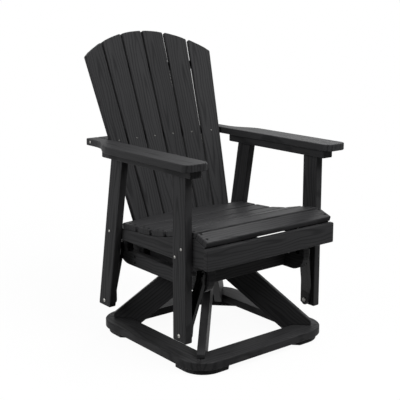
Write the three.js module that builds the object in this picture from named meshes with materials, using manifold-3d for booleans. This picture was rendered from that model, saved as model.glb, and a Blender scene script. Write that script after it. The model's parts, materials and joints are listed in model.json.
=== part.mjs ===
// Fan-back garden armchair hung on four steel links from a swivelling carriage.
// Millimetres, +Z up. The sitter faces -Y and the sitter's sides are -X and +X.
import * as THREE from 'three';
import { mergeVertices } from 'three/addons/utils/BufferGeometryUtils.js';
import Module from 'manifold-3d';

const wasm = await Module();
wasm.setup();

// Lumber and fits
const boardThick = 28;
const slatThick = 20;
const edgeEase = 2;
const slatEase = 2.4;
const cornerCut = 3;
const seatGap = 0.3;
const overrun = 60;

// Base frame and its feet
const baseHalf = 309;
const frameWidth = 90;
const frameCornerRadius = 95;
const footHeight = 20;
const footInset = 13;
const footWidth = 90;
const footLength = 180;

// Legs, hub and swivel
const legWidth = 94;
const legHeadReach = 100;
const toeSetback = 31.6;
const toeHeight = 17;
const heelDrop = 22;
const legTopZ = 296;
const hubDrop = 60;
const swivelPlateSize = 200;
const swivelPlateThick = 4;
const plateCornerRadius = 9;
const bearingHeight = 8;
const bearingRadius = 78;
const bearingWall = 14;

// Swivelling carriage
const carriageHalfWidth = 232;
const carriageFrontY = -268;
const carriageRearY = 272;
const carriageLowZ = 260;
const carriageHeight = 89;
const carriageNoseRadius = 60;
const carriageTailRadius = 70;
const carriageWaistDrop = 37;
const carriageEarReach = 40;
const carriageEarRadius = 12;
const crossBoardY = 159;
const crossBoardHeight = 84;
const deckBoardWidth = 90;
const deckBoardHalfLength = 150;

// Pivots: y and z of the pins above and below, front and rear
const upperPivotZ = 329;
const lowerPivotZ = 128;
const frontUpperPivotY = -238.3;
const rearUpperPivotY = 247;
const frontPostY = -211.5;
const rearLowerPivotY = 242.4;

// Links and pivot pins
const linkWidth = 38;
const linkWall = 3;
const linkDepth = 14;
const linkStraightTop = 24;
const linkStraightFoot = 34;
const linkSideGap = 1.5;
const pinRadius = 4;
const pinHeadRadius = 7;
const pinHeadThick = 5;
const pinDomeHeight = 2;
const pinCollarRadius = 8;
const openPivotPlay = 1.3;

// Posts, arms and the cleats between them
const postInnerX = 284;
const postWidth = 70;
const postLowZ = 107;
const postTopZ = 667;
const rearPostLean = THREE.MathUtils.degToRad(9.9);
const cleatWidth = 47;
const cleatFrontY = -285;
const cleatRearY = 229;
const armThick = 25;
const armBackGap = 7;
const armWidth = 97;
const armNeckWidth = 48;
const armFrontY = -316;
const armRearY = 347;
const armNeckStartY = 290;
const armCurveStartY = 120;
const armCornerRadius = 27;

// Seat
const railLowZ = 370;
const railRearY = 238;
const seatFrontY = -323;
const seatSlatPitch = 83.7;
const seatSlatGap = 9.5;
const seatNoseWidth = 61;
const seatBackY = 192;
const seatCrownHeight = 95;
const apronOverhang = 6;
const apronHeight = 72.5;
const apronProud = 7;

// Back
const backSeatY = 190;
const backSeatZ = 437;
const backLean = THREE.MathUtils.degToRad(20.2);
const backHollowRadius = 1250;
const backArchRadius = 524;
const backTopZ = 1102;
const backLowZ = 375;
const backHalfLow = 219.5;
const backHalfTop = 303.3;
const backSlatThick = 16;
const backSlatGapLow = 5.5;
const backSlatGapTop = 7;
const backSlatCorner = 6;
const lowerRailZ = 378;
const upperRailDrop = 133;
const upperRailThick = 24;
const upperRailDepth = 46;
const upperRailInset = 38;

// Heights of the seat's crown above the rails' bottom, from the back edge to the front edge,
// as shares of the highest one
const seatCrownShares = [0.44, 0.495, 0.545, 0.685, 0.905, 1, 0.775];
// Places of the lines between back slats, from the middle out, as shares of the half width
const slatLineLowShares = [0, 0.349, 0.688, 1];
const slatLineTopShares = [0, 0.327, 0.668, 1];

const frameTopZ = footHeight + boardThick;
const bearingZ = legTopZ + swivelPlateThick;
const upperPlateZ = bearingZ + bearingHeight;
const deckZ = upperPlateZ + swivelPlateThick;
const cleatTopZ = postTopZ + boardThick;
const postOuterX = postInnerX + boardThick;
const railInnerX = postInnerX - boardThick;
const apronHalfLength = postInnerX + apronOverhang;
const pinClearRadius = pinRadius + seatGap;
const upperRailZ = backTopZ - upperRailDrop;
const backSlatCount = 2 * (slatLineLowShares.length - 1);
const armInnerX = slatLine(backSlatCount, cleatTopZ + armThick / 2) + armBackGap;

const lumberFinish = { color: 0x262627, roughness: 0.55, metalness: 0 };
const steelFinish = { color: 0x19191a, roughness: 0.4, metalness: 0.6 };
const zincFinish = { color: 0xb4b6b8, roughness: 0.3, metalness: 0.95 };

const sideAxes = [
  { side: 'left', sign: -1 },
  { side: 'right', sign: 1 },
];
const ends = [
  { end: 'front', sign: -1, upperY: frontUpperPivotY, lowerY: frontPostY },
  { end: 'rear', sign: 1, upperY: rearUpperPivotY, lowerY: rearLowerPivotY },
];

// An outline drawn in the YZ plane and given its thickness along X.
const sideways = new THREE.Quaternion().setFromRotationMatrix(new THREE.Matrix4().makeBasis(
  new THREE.Vector3(0, 1, 0), new THREE.Vector3(0, 0, 1), new THREE.Vector3(1, 0, 0)));
// An outline drawn in the XZ plane and given its thickness along Y.
const frontways = new THREE.Quaternion().setFromRotationMatrix(new THREE.Matrix4().makeBasis(
  new THREE.Vector3(1, 0, 0), new THREE.Vector3(0, 0, 1), new THREE.Vector3(0, -1, 0)));

// Corners are [x, y] or [x, y, radius]. Small radii are a single cut, large ones a fine arc.
function corneredOutline(corners) {
  const count = corners.length;
  const at = (index) => new THREE.Vector2(...corners[(index + count) % count]);
  const points = [];
  corners.forEach(([, , radius = 0], index) => {
    const corner = at(index);
    if (radius === 0) {
      points.push(corner);
      return;
    }
    const back = at(index - 1).sub(corner).normalize();
    const ahead = at(index + 1).sub(corner).normalize();
    const half = Math.acos(back.dot(ahead)) / 2;
    const centre = back.clone().add(ahead).normalize().multiplyScalar(radius / Math.sin(half)).add(corner);
    const start = back.clone().multiplyScalar(radius / Math.tan(half)).add(corner).sub(centre);
    const turn = Math.sign(ahead.cross(back)) * (Math.PI - 2 * half);
    const steps = radius > cornerCut ? Math.ceil(Math.abs(turn) / (Math.PI / 18)) : 1;
    for (let step = 0; step <= steps; step += 1) {
      points.push(start.clone().rotateAround(new THREE.Vector2(), turn * step / steps).add(centre));
    }
  });
  return new THREE.Shape(points);
}

// A board: its outline, its thickness centred on zero, and every face edge eased.
function board(corners, thickness = boardThick, holes = [], ease = edgeEase) {
  const shape = corneredOutline(corners);
  holes.forEach(({ x, y, radius }) => {
    shape.holes.push(new THREE.Path().absarc(x, y, radius, 0, 2 * Math.PI, true));
  });
  const geometry = new THREE.ExtrudeGeometry(shape, {
    depth: thickness - 2 * ease,
    bevelThickness: ease,
    bevelSize: ease,
    bevelOffset: -ease,
    bevelSegments: 1,
    curveSegments: 8,
  });
  return geometry.translate(0, 0, ease - thickness / 2);
}

// A plain prism with sharp edges, from one height to another.
function prism(corners, low, high) {
  const shape = corneredOutline(corners);
  return new THREE.ExtrudeGeometry(shape, { depth: high - low, bevelEnabled: false }).translate(0, 0, low);
}

function rectangle(xLow, xHigh, yLow, yHigh, radius = cornerCut) {
  return [[xLow, yLow, radius], [xHigh, yLow, radius], [xHigh, yHigh, radius], [xLow, yHigh, radius]];
}

function toSolid(geometry) {
  const bare = geometry.clone();
  bare.deleteAttribute('normal');
  bare.deleteAttribute('uv');
  const merged = mergeVertices(bare);
  return new wasm.Manifold(new wasm.Mesh({
    numProp: 3,
    vertProperties: new Float32Array(merged.attributes.position.array),
    triVerts: new Uint32Array(merged.index.array),
  }));
}

function fromSolid(solid) {
  const { vertProperties, triVerts } = solid.getMesh();
  const geometry = new THREE.BufferGeometry();
  geometry.setAttribute('position', new THREE.BufferAttribute(vertProperties, 3));
  geometry.setIndex(new THREE.BufferAttribute(triVerts, 1));
  geometry.computeVertexNormals();
  return geometry;
}

function cutAway(geometry, cutters) {
  const left = cutters.reduce((solid, cutter) => solid.subtract(toSolid(cutter)), toSolid(geometry));
  return fromSolid(left);
}

function addPiece(group, name, geometry, finish = lumberFinish, place = {}) {
  const mesh = new THREE.Mesh(geometry, new THREE.MeshStandardMaterial(finish));
  mesh.name = name;
  mesh.position.set(place.x ?? 0, place.y ?? 0, place.z ?? 0);
  if (place.turn) mesh.quaternion.copy(place.turn);
  group.add(mesh);
  return mesh;
}

// Base: four mitred boards with rounded corners, a foot under each corner,
// and four boards on edge that rise along the diagonals to the hub.
function makeBase() {
  const base = new THREE.Group();
  const inner = baseHalf - frameWidth;
  const mitreGap = seatGap / Math.SQRT2;
  const sideNames = ['front', 'right', 'rear', 'left'];
  const cornerNames = ['front_right', 'rear_right', 'rear_left', 'front_left'];
  const roundCentre = baseHalf - frameCornerRadius;
  const mitreTip = roundCentre + frameCornerRadius * Math.SQRT1_2;

  // One side's board: the outer corners are half of the rounded corner, up to the mitre.
  const arcSteps = 8;
  const roundedEnd = Array.from({ length: arcSteps + 1 }, (_, step) => {
    const angle = (Math.PI / 4) * (step / arcSteps);
    return [
      roundCentre + frameCornerRadius * Math.sin(angle),
      -roundCentre - frameCornerRadius * Math.cos(angle),
    ];
  });
  roundedEnd[arcSteps] = [mitreTip - mitreGap, -mitreTip];
  const halfSide = [...roundedEnd, [inner - mitreGap, -inner]];
  const mirrored = halfSide.map(([x, y]) => [-x, y]).reverse();
  sideNames.forEach((side, index) => {
    const turn = new THREE.Quaternion().setFromAxisAngle(new THREE.Vector3(0, 0, 1), index * Math.PI / 2);
    addPiece(base, `frame_${side}`, board([...halfSide, ...mirrored]), lumberFinish,
      { z: footHeight + boardThick / 2, turn });
  });

  // A foot is a short board across the corner, cut to the frame's rounded outline.
  const footFace = baseHalf - footInset;
  const footCorner = roundCentre * Math.SQRT2 + frameCornerRadius - footInset;
  const footBackReach = footCorner - footWidth;
  const footEnd = footLength / 2;
  const footOutline = [
    [footBackReach, -footEnd, cornerCut],
    [footFace * Math.SQRT2 - footEnd, -footEnd, cornerCut],
    [footFace * Math.SQRT2, 0, frameCornerRadius - footInset],
    [footFace * Math.SQRT2 - footEnd, footEnd, cornerCut],
    [footBackReach, footEnd, cornerCut],
  ];

  // A leg's outline: x is the reach from the swivel's axis, y the height. The toe stands on the
  // frame, and the heel drops inside the frame's inner corner.
  const toeReach = roundCentre * Math.SQRT2 + frameCornerRadius - toeSetback;
  const legRise = Math.atan((legTopZ - frameTopZ - toeHeight) / (toeReach - legHeadReach));
  const legLift = legWidth / Math.cos(legRise);
  const lowerEdgeZ = (reach) => frameTopZ + toeHeight - legLift + (toeReach - reach) * Math.tan(legRise);
  const heelZ = frameTopZ - heelDrop;
  const heelReach = toeReach - (legLift - toeHeight - heelDrop) / Math.tan(legRise);
  const notchReach = (inner - seatGap) * Math.SQRT2 - boardThick / 2;
  const legCore = boardThick / 2 + seatGap;
  const legOutline = [
    [legCore, lowerEdgeZ(legCore), cornerCut],
    [heelReach, heelZ, cornerCut],
    [notchReach, heelZ, cornerCut],
    [notchReach, frameTopZ],
    [toeReach, frameTopZ, cornerCut],
    [toeReach, frameTopZ + toeHeight, cornerCut],
    [legHeadReach, legTopZ, cornerCut],
    [legCore, legTopZ, cornerCut],
  ];
  cornerNames.forEach((corner, index) => {
    const heading = new THREE.Quaternion().setFromAxisAngle(
      new THREE.Vector3(0, 0, 1), (2 * index - 1) * Math.PI / 4);
    addPiece(base, `foot_${corner}`, board(footOutline, footHeight), lumberFinish,
      { z: footHeight / 2, turn: heading });
    addPiece(base, `leg_${corner}`, board(legOutline), lumberFinish,
      { turn: heading.clone().multiply(frontways) });
  });

  const hubHalf = boardThick / 2;
  addPiece(base, 'leg_hub', prism(
    rectangle(-hubHalf, hubHalf, -hubHalf, hubHalf, 0), legTopZ - hubDrop, legTopZ).rotateZ(Math.PI / 4));
  const plateHalf = swivelPlateSize / 2;
  const plateCorners = rectangle(-plateHalf, plateHalf, -plateHalf, plateHalf, plateCornerRadius);
  addPiece(base, 'swivel_lower_plate', prism(plateCorners, legTopZ, bearingZ), steelFinish);
  const race = [
    [bearingRadius - bearingWall, bearingZ],
    [bearingRadius, bearingZ],
    [bearingRadius, upperPlateZ],
    [bearingRadius - bearingWall, upperPlateZ],
    [bearingRadius - bearingWall, bearingZ],
  ].map(([radius, z]) => new THREE.Vector2(radius, z));
  addPiece(base, 'swivel_bearing', new THREE.LatheGeometry(race, 36).rotateX(Math.PI / 2), steelFinish);
  return base;
}

// A pin along X: a list of [radius, x] steps turned about its axis.
function pinAlongX(steps) {
  const profile = steps.map(([radius, x]) => new THREE.Vector2(radius, x));
  return new THREE.LatheGeometry(profile, 16).rotateZ(-Math.PI / 2);
}

// A pin's domed head, from its flat to its crown.
function domedHead(flatX, outward) {
  const rimX = flatX + outward * (pinHeadThick - pinDomeHeight);
  return [
    [pinHeadRadius, flatX],
    [pinHeadRadius, rimX],
    [pinHeadRadius - pinDomeHeight, flatX + outward * pinHeadThick],
    [0, flatX + outward * pinHeadThick],
  ];
}

// Carriage: two side boards on edge, two cross boards, two deck boards on the swivel.
function makeCarriage() {
  const carriage = new THREE.Group();
  const plateHalf = swivelPlateSize / 2;
  const sideInnerX = carriageHalfWidth - boardThick;
  const plateCorners = rectangle(-plateHalf, plateHalf, -plateHalf, plateHalf, plateCornerRadius);
  addPiece(carriage, 'swivel_upper_plate', prism(plateCorners, upperPlateZ + seatGap, deckZ), steelFinish);
  // Each side board is cut down between the ears that hold its two pins.
  const sideTopZ = carriageLowZ + carriageHeight;
  const waistZ = sideTopZ - carriageWaistDrop;
  const rearEarY = rearUpperPivotY - carriageEarReach;
  const frontEarY = frontUpperPivotY + carriageEarReach;
  const sideOutline = [
    [carriageFrontY, carriageLowZ, carriageNoseRadius],
    [carriageRearY, carriageLowZ, carriageTailRadius],
    [carriageRearY, sideTopZ, cornerCut],
    [rearEarY, sideTopZ, carriageEarRadius],
    [rearEarY, waistZ, carriageEarRadius],
    [frontEarY, waistZ, carriageEarRadius],
    [frontEarY, sideTopZ, carriageEarRadius],
    [carriageFrontY, sideTopZ, cornerCut],
  ];
  const pivotHoles = ends.map(({ upperY }) => ({ x: upperY, y: upperPivotZ, radius: pinClearRadius }));
  sideAxes.forEach(({ side, sign }) => {
    addPiece(carriage, `carriage_side_${side}`, board(sideOutline, boardThick, pivotHoles), lumberFinish,
      { x: sign * (carriageHalfWidth - boardThick / 2), turn: sideways });
  });
  ends.forEach(({ end, sign }) => {
    addPiece(carriage, `carriage_cross_${end}`, board(
      rectangle(-sideInnerX, sideInnerX, sideTopZ - crossBoardHeight, sideTopZ)), lumberFinish,
      { y: sign * crossBoardY, turn: frontways });
    const deckBoard = board(
      rectangle(-deckBoardHalfLength, deckBoardHalfLength, -deckBoardWidth / 2, deckBoardWidth / 2));
    const deckBoardY = sign * (crossBoardY - (boardThick + deckBoardWidth) / 2);
    addPiece(carriage, `deck_board_${end}`, deckBoard, lumberFinish,
      { y: deckBoardY, z: deckZ + boardThick / 2 });
  });

  // Upper pins are held by the side boards, and the links turn on them.
  const webX = carriageHalfWidth + linkSideGap;
  const innerFace = sideInnerX - seatGap;
  const pin = pinAlongX([
    ...domedHead(innerFace, -1).reverse(),
    [pinRadius, innerFace],
    [pinRadius, carriageHalfWidth + seatGap],
    [pinCollarRadius, carriageHalfWidth + seatGap],
    [pinCollarRadius, webX - seatGap],
    [pinRadius, webX - seatGap],
    [pinRadius, webX + linkWall + seatGap],
    ...domedHead(webX + linkWall + seatGap, 1),
  ]);
  sideAxes.forEach(({ side, sign }) => ends.forEach(({ end, upperY }) => {
    const turn = new THREE.Quaternion().setFromAxisAngle(new THREE.Vector3(0, 0, 1), sign > 0 ? 0 : Math.PI);
    addPiece(carriage, `upper_pin_${end}_${side}`, pin, zincFinish, { y: upperY, z: upperPivotZ, turn });
  }));
  return carriage;
}

// Links: a channel with its web inboard, straight beside the carriage, then splayed
// outward so that its flanges run close to the post. Its ends are round about the pins.
function makeLinks() {
  const links = new THREE.Group();
  const webTopX = carriageHalfWidth + linkSideGap;
  const webFootX = postInnerX - seatGap - linkDepth;
  const endRadius = linkWidth / 2;
  sideAxes.forEach(({ side, sign }) => ends.forEach(({ end, upperY, lowerY }) => {
    const rise = upperPivotZ - lowerPivotZ;
    const length = Math.hypot(rise, lowerY - upperY);
    const swing = Math.atan2(lowerY - upperY, rise);
    const spine = [
      [webTopX, endRadius],
      [webTopX, -linkStraightTop],
      [webFootX, linkStraightFoot - length],
      [webFootX, -length - endRadius],
    ];
    const strip = (near, far) => [
      ...spine.map(([x, z]) => [sign * (x + near), z]),
      ...spine.map(([x, z]) => [sign * (x + far), z]).reverse(),
    ];
    const blank = prism(strip(0, linkDepth), -endRadius, endRadius).applyQuaternion(frontways);
    const hollow = prism(strip(linkWall, linkDepth + overrun), linkWall - endRadius, endRadius - linkWall)
      .applyQuaternion(frontways);
    const roundEnds = prism([
      [-endRadius, -length - endRadius, endRadius],
      [endRadius, -length - endRadius, endRadius],
      [endRadius, endRadius, endRadius],
      [-endRadius, endRadius, endRadius],
    ], -postOuterX, postOuterX).applyQuaternion(sideways);
    const play = end === 'rear' ? openPivotPlay : 0;
    const bore = (z, radius) => new THREE.CylinderGeometry(radius, radius, 2 * postOuterX, 24)
      .rotateZ(Math.PI / 2).translate(0, 0, z);
    const channel = toSolid(blank).subtract(toSolid(hollow)).intersect(toSolid(roundEnds))
      .subtract(toSolid(bore(0, pinClearRadius)))
      .subtract(toSolid(bore(-length, pinClearRadius + play)));
    const turn = new THREE.Quaternion().setFromAxisAngle(new THREE.Vector3(1, 0, 0), swing);
    addPiece(links, `link_${end}_${side}`, fromSolid(channel), steelFinish,
      { y: upperY, z: upperPivotZ, turn });
  }));
  return links;
}

// Posts hang below the seat to carry the lower pins. Front posts are upright, rear ones lean.
function addPosts(chair) {
  const rearShift = Math.tan(rearPostLean);
  const rearWidth = postWidth / Math.cos(rearPostLean);
  const outlines = {
    front: [
      [frontPostY - postWidth / 2, postLowZ, cornerCut],
      [frontPostY + postWidth / 2, postLowZ, cornerCut],
      [frontPostY + postWidth / 2, postTopZ, cornerCut],
      [frontPostY - postWidth / 2, postTopZ, cornerCut],
    ],
    rear: [
      [-rearWidth / 2, postLowZ, cornerCut],
      [rearWidth / 2, postLowZ, cornerCut],
      [rearWidth / 2, postTopZ, cornerCut],
      [-rearWidth / 2, postTopZ, cornerCut],
    ].map(([y, z, radius]) => [rearLowerPivotY + y - (z - lowerPivotZ) * rearShift, z, radius]),
  };
  const webOuterX = postInnerX - seatGap - linkDepth + linkWall;
  const pin = pinAlongX([
    ...domedHead(webOuterX - linkWall - seatGap, -1).reverse(),
    [pinRadius, webOuterX - linkWall - seatGap],
    [pinRadius, webOuterX + seatGap],
    [pinCollarRadius, webOuterX + seatGap],
    [pinCollarRadius, postInnerX - seatGap],
    [pinRadius, postInnerX - seatGap],
    [pinRadius, postOuterX + seatGap],
    ...domedHead(postOuterX + seatGap, 1),
  ]);
  sideAxes.forEach(({ side, sign }) => ends.forEach(({ end, lowerY }) => {
    const hole = { x: lowerY, y: lowerPivotZ, radius: pinClearRadius };
    addPiece(chair, `post_${end}_${side}`, board(outlines[end], boardThick, [hole]), lumberFinish,
      { x: sign * (postInnerX + boardThick / 2), turn: sideways });
    const turn = new THREE.Quaternion().setFromAxisAngle(new THREE.Vector3(0, 0, 1), sign > 0 ? 0 : Math.PI);
    addPiece(chair, `lower_pin_${end}_${side}`, pin, zincFinish, { y: lowerY, z: lowerPivotZ, turn });
  }));
}

// Each arm is a flat board, broad in front and drawn in by an S curve to a neck behind.
function addArms(chair) {
  const armOuterX = armInnerX + armWidth;
  const neckOuterX = armInnerX + armNeckWidth;
  const curveMiddleY = (armCurveStartY + armNeckStartY) / 2;
  const curve = new THREE.CubicBezierCurve(
    new THREE.Vector2(armOuterX, armCurveStartY),
    new THREE.Vector2(armOuterX, curveMiddleY),
    new THREE.Vector2(neckOuterX, curveMiddleY),
    new THREE.Vector2(neckOuterX, armNeckStartY)).getPoints(10).map((point) => point.toArray());
  const outline = [
    [armInnerX, armFrontY, armCornerRadius],
    [armOuterX, armFrontY, armCornerRadius],
    ...curve,
    [neckOuterX, armRearY, cornerCut],
    [armInnerX, armRearY, cornerCut],
  ];
  const cleatX = postInnerX + boardThick / 2;
  sideAxes.forEach(({ side, sign }) => {
    const mirrored = outline.map(([x, y, radius]) => [sign * x, y, radius]);
    addPiece(chair, `arm_${side}`, board(sign > 0 ? mirrored : mirrored.reverse(), armThick), lumberFinish,
      { z: cleatTopZ + armThick / 2 });
    addPiece(chair, `arm_cleat_${side}`, board(
      rectangle(-cleatWidth / 2, cleatWidth / 2, cleatFrontY, cleatRearY)), lumberFinish,
      { x: sign * cleatX, z: postTopZ + boardThick / 2 });
  });
}

// The line between two back slats, counted from the left edge, at a height.
function slatLine(index, z) {
  const middle = slatLineLowShares.length - 1;
  const side = Math.sign(index - middle);
  const place = Math.abs(index - middle);
  const climb = (z - backLowZ) / (backTopZ - backLowZ);
  const lowX = slatLineLowShares[place] * backHalfLow;
  const topX = slatLineTopShares[place] * backHalfTop;
  return side * (lowX + (topX - lowX) * climb);
}

// A point on the hollow front of the back.
function backFace(x, z) {
  const y = backSeatY + (z - backSeatZ) * Math.tan(backLean) - x * x / (2 * backHollowRadius);
  return new THREE.Vector3(x, y, z);
}

// The arched top, measured along the leaning back.
function archZ(x) {
  return backTopZ - (backArchRadius - Math.sqrt(backArchRadius ** 2 - x * x)) * Math.cos(backLean);
}

// A slat's own frame: x across it, y up it, z out of its front.
function slatFrame(index) {
  const middleZ = (backLowZ + backTopZ) / 2;
  const pointAt = (line, z) => backFace(slatLine(line, z), z);
  const between = (z) => pointAt(index, z).add(pointAt(index + 1, z)).multiplyScalar(1 / 2);
  const across = pointAt(index + 1, middleZ).sub(pointAt(index, middleZ));
  const up = between(backTopZ).sub(between(backLowZ)).normalize();
  const out = across.cross(up).normalize();
  const along = up.clone().cross(out);
  return new THREE.Matrix4().makeBasis(along, up, out).setPosition(between(backLowZ));
}

// A slat's outline in its own frame. Its sides move out by a margin at the foot and one at the top.
function slatOutline(index, left, right, footMargin = 0) {
  const toLocal = slatFrame(index).invert();
  const local = (x, z) => backFace(x, z).applyMatrix4(toLocal);
  const topSteps = 4;
  const edges = [index, index + 1].map((line) => {
    let z = backTopZ;
    for (let pass = 0; pass < 3; pass += 1) z = archZ(slatLine(line, z));
    return slatLine(line, z);
  });
  const top = Array.from({ length: topSteps + 1 }, (_, step) => {
    const x = edges[0] + (edges[1] - edges[0]) * step / topSteps;
    const point = local(x, archZ(x));
    if (step === 0) return [point.x - left.top, point.y, backSlatCorner];
    if (step === topSteps) return [point.x + right.top, point.y, backSlatCorner];
    return [point.x, point.y];
  });
  const lowLeft = local(slatLine(index, backLowZ), backLowZ);
  const lowRight = local(slatLine(index + 1, backLowZ), backLowZ);
  return [
    [lowLeft.x - left.low, -footMargin],
    [lowRight.x + right.low, -footMargin],
    ...top.reverse(),
  ];
}

// Half the gap between slats at their feet and at their tops, outwards or, with -1, inwards.
function halfGap(outward) {
  return { low: outward * backSlatGapLow / 2, top: outward * backSlatGapTop / 2 };
}

// Blocks the size of the slats, grown sideways until they meet, from one depth to another.
function backBlocks(low, high) {
  return Array.from({ length: backSlatCount }, (_, index) => {
    const beyond = { low: overrun, top: overrun };
    const left = index === 0 ? beyond : halfGap(1);
    const right = index === backSlatCount - 1 ? beyond : halfGap(1);
    const outline = slatOutline(index, left, right, overrun);
    return prism(outline, low, high).applyMatrix4(slatFrame(index));
  });
}

// Six tapered slats on a hollow, and the three rails that hold them from behind.
// Each rail's front edge is cut to the slats' backs.
function addBack(chair) {
  for (let index = 0; index < backSlatCount; index += 1) {
    const outline = slatOutline(index, halfGap(-1), halfGap(-1));
    const slat = board(outline, backSlatThick, [], slatEase).translate(0, 0, -backSlatThick / 2);
    const mesh = addPiece(chair, `back_slat_${index + 1}`, slat);
    slatFrame(index).decompose(mesh.position, mesh.quaternion, mesh.scale);
  }
  const room = backBlocks(-backSlatThick - seatGap, overrun);
  const railReach = (z) => backFace(0, z).y - overrun / 2;
  const armRailZ = cleatTopZ + armThick / 2;
  const lowerRail = board(rectangle(-railInnerX, railInnerX, railReach(lowerRailZ), railRearY))
    .translate(0, 0, lowerRailZ + boardThick / 2);
  addPiece(chair, 'back_rail_lower', cutAway(lowerRail, room));
  const armRail = board(rectangle(-armInnerX, armInnerX, railReach(armRailZ), armRearY), armThick)
    .translate(0, 0, armRailZ);
  addPiece(chair, 'back_rail_arms', cutAway(armRail, room));

  // The upper rail lies square to the slats and is a bent band of even depth.
  const bandPoints = 12;
  const upperRailHalf = slatLine(backSlatCount, upperRailZ) - upperRailInset;
  const band = (depth) => Array.from({ length: bandPoints + 1 }, (_, step) => {
    const x = upperRailHalf * (2 * step / bandPoints - 1);
    return [x, depth - x * x / (2 * backHollowRadius)];
  });
  const bandOutline = [...band(-backSlatThick), ...band(backSlatThick + upperRailDepth).reverse()];
  const upperRail = board(bandOutline, upperRailThick)
    .rotateX(-backLean)
    .translate(0, backFace(0, upperRailZ).y, upperRailZ);
  addPiece(chair, 'back_rail_upper', cutAway(upperRail, room));
}

// A bent line moved down by a distance, square to each of its straight runs.
function loweredLine(points, distance) {
  const downOf = (run) => {
    const along = points[run + 1].clone().sub(points[run]).normalize();
    return new THREE.Vector2(-along.y, along.x);
  };
  const lastRun = points.length - 2;
  return points.map((point, index) => {
    const before = downOf(Math.max(index - 1, 0));
    const after = downOf(Math.min(index, lastRun));
    const reach = distance / (1 + before.dot(after));
    return before.add(after).multiplyScalar(reach).add(point);
  });
}

// Seat: contoured side rails, a front apron, and six slats laid along the contour.
function addSeat(chair) {
  const slatCount = seatCrownShares.length - 1;
  const lines = seatCrownShares.map((share, index) => {
    const inner = seatFrontY + seatNoseWidth + (slatCount - 1 - index) * seatSlatPitch;
    const y = index === 0 ? seatBackY : (index === slatCount ? seatFrontY : inner);
    return new THREE.Vector2(y, railLowZ + slatThick + seatCrownHeight * share);
  });
  const apronBackY = seatFrontY - apronProud + slatThick;
  const underside = loweredLine(lines, slatThick + seatGap).map((point) => point.toArray());
  const [crestLow, noseLow] = underside.slice(slatCount - 1);
  const noseShare = (apronBackY - noseLow[0]) / (crestLow[0] - noseLow[0]);
  const noseZ = THREE.MathUtils.lerp(noseLow[1], crestLow[1], noseShare);
  const railOutline = [
    [railRearY, railLowZ, cornerCut],
    [railRearY, underside[0][1], cornerCut],
    ...underside.slice(0, slatCount),
    [apronBackY, noseZ],
    [apronBackY, railLowZ, cornerCut],
  ];
  sideAxes.forEach(({ side, sign }) => {
    addPiece(chair, `seat_rail_${side}`, board(railOutline), lumberFinish,
      { x: sign * (railInnerX + boardThick / 2), turn: sideways });
  });
  const apronOutline = rectangle(-apronHalfLength, apronHalfLength, railLowZ, railLowZ + apronHeight);
  addPiece(chair, 'apron', board(apronOutline, slatThick, [], slatEase), lumberFinish,
    { y: apronBackY - slatThick / 2, turn: frontways });

  // Where the seat folds over a crest, the slats stand apart enough for their lower edges to clear.
  const tiltOf = (index) => Math.atan2(
    lines[index].y - lines[index + 1].y, lines[index].x - lines[index + 1].x);
  const trimAt = (index) => {
    if (index === 0 || index === slatCount) return 0;
    const fold = Math.max(tiltOf(index) - tiltOf(index - 1), 0);
    return Math.max(seatSlatGap / 2, slatThick * Math.tan(fold / 2) + seatGap);
  };
  const behindSeat = backBlocks(-backSlatThick - overrun, seatGap);
  const halfLength = postInnerX - seatGap;
  for (let index = 0; index < slatCount; index += 1) {
    const [rear, front] = [lines[index], lines[index + 1]];
    const tilt = tiltOf(index);
    const rearTrim = trimAt(index);
    const frontTrim = trimAt(index + 1);
    const run = rear.distanceTo(front);
    const outline = rectangle(-halfLength, halfLength, frontTrim, run - rearTrim);
    const slat = board(outline, slatThick, [], slatEase)
      .translate(0, 0, -slatThick / 2)
      .rotateX(tilt)
      .translate(0, front.x, front.y);
    addPiece(chair, `seat_slat_${index + 1}`, index === 0 ? cutAway(slat, behindSeat) : slat);
  }
}

const chairBody = new THREE.Group();
addPosts(chairBody);
addArms(chairBody);
addSeat(chairBody);
addBack(chairBody);

const swivelChair = new THREE.Group();
swivelChair.add(makeBase(), makeCarriage(), makeLinks(), chairBody);

// The origin is on the floor, in the middle of the ground that the chair covers.
swivelChair.updateMatrixWorld(true);
const bounds = new THREE.Box3().setFromObject(swivelChair, true);
const middle = bounds.getCenter(new THREE.Vector3());
swivelChair.position.set(-middle.x, -middle.y, -bounds.min.z);

export default swivelChair;
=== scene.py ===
# A swivelling garden armchair of black poly lumber, dressed and lit as in a plain studio.
# Metres, +Z up, but bolts, screws, swivel and ledger boards are worked out in mm.
# The sitter faces -Y and the sitter's sides are -X and +X.
import functools
import json
import math

import bmesh
import bpy
import numpy as np
from mathutils import Matrix, Vector
from mathutils.bvhtree import BVHTree


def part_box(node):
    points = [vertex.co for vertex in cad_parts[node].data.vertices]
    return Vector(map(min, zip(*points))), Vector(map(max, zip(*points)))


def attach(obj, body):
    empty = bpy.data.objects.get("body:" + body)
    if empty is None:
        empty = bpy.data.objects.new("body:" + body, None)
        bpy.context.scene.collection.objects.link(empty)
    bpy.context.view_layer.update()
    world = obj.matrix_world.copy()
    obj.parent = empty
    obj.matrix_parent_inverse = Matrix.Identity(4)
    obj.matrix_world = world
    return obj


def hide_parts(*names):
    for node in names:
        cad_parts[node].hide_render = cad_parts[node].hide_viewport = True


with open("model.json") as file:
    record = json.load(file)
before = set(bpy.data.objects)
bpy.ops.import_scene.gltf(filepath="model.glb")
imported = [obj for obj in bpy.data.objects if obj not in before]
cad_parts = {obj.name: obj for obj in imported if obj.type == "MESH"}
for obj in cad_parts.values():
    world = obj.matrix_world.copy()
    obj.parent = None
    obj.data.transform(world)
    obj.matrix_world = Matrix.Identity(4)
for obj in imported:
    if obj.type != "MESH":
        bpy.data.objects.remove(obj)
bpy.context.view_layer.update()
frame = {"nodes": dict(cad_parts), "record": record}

mm = 0.001  # metres in a millimetre


# Colours, written as they look

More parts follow.
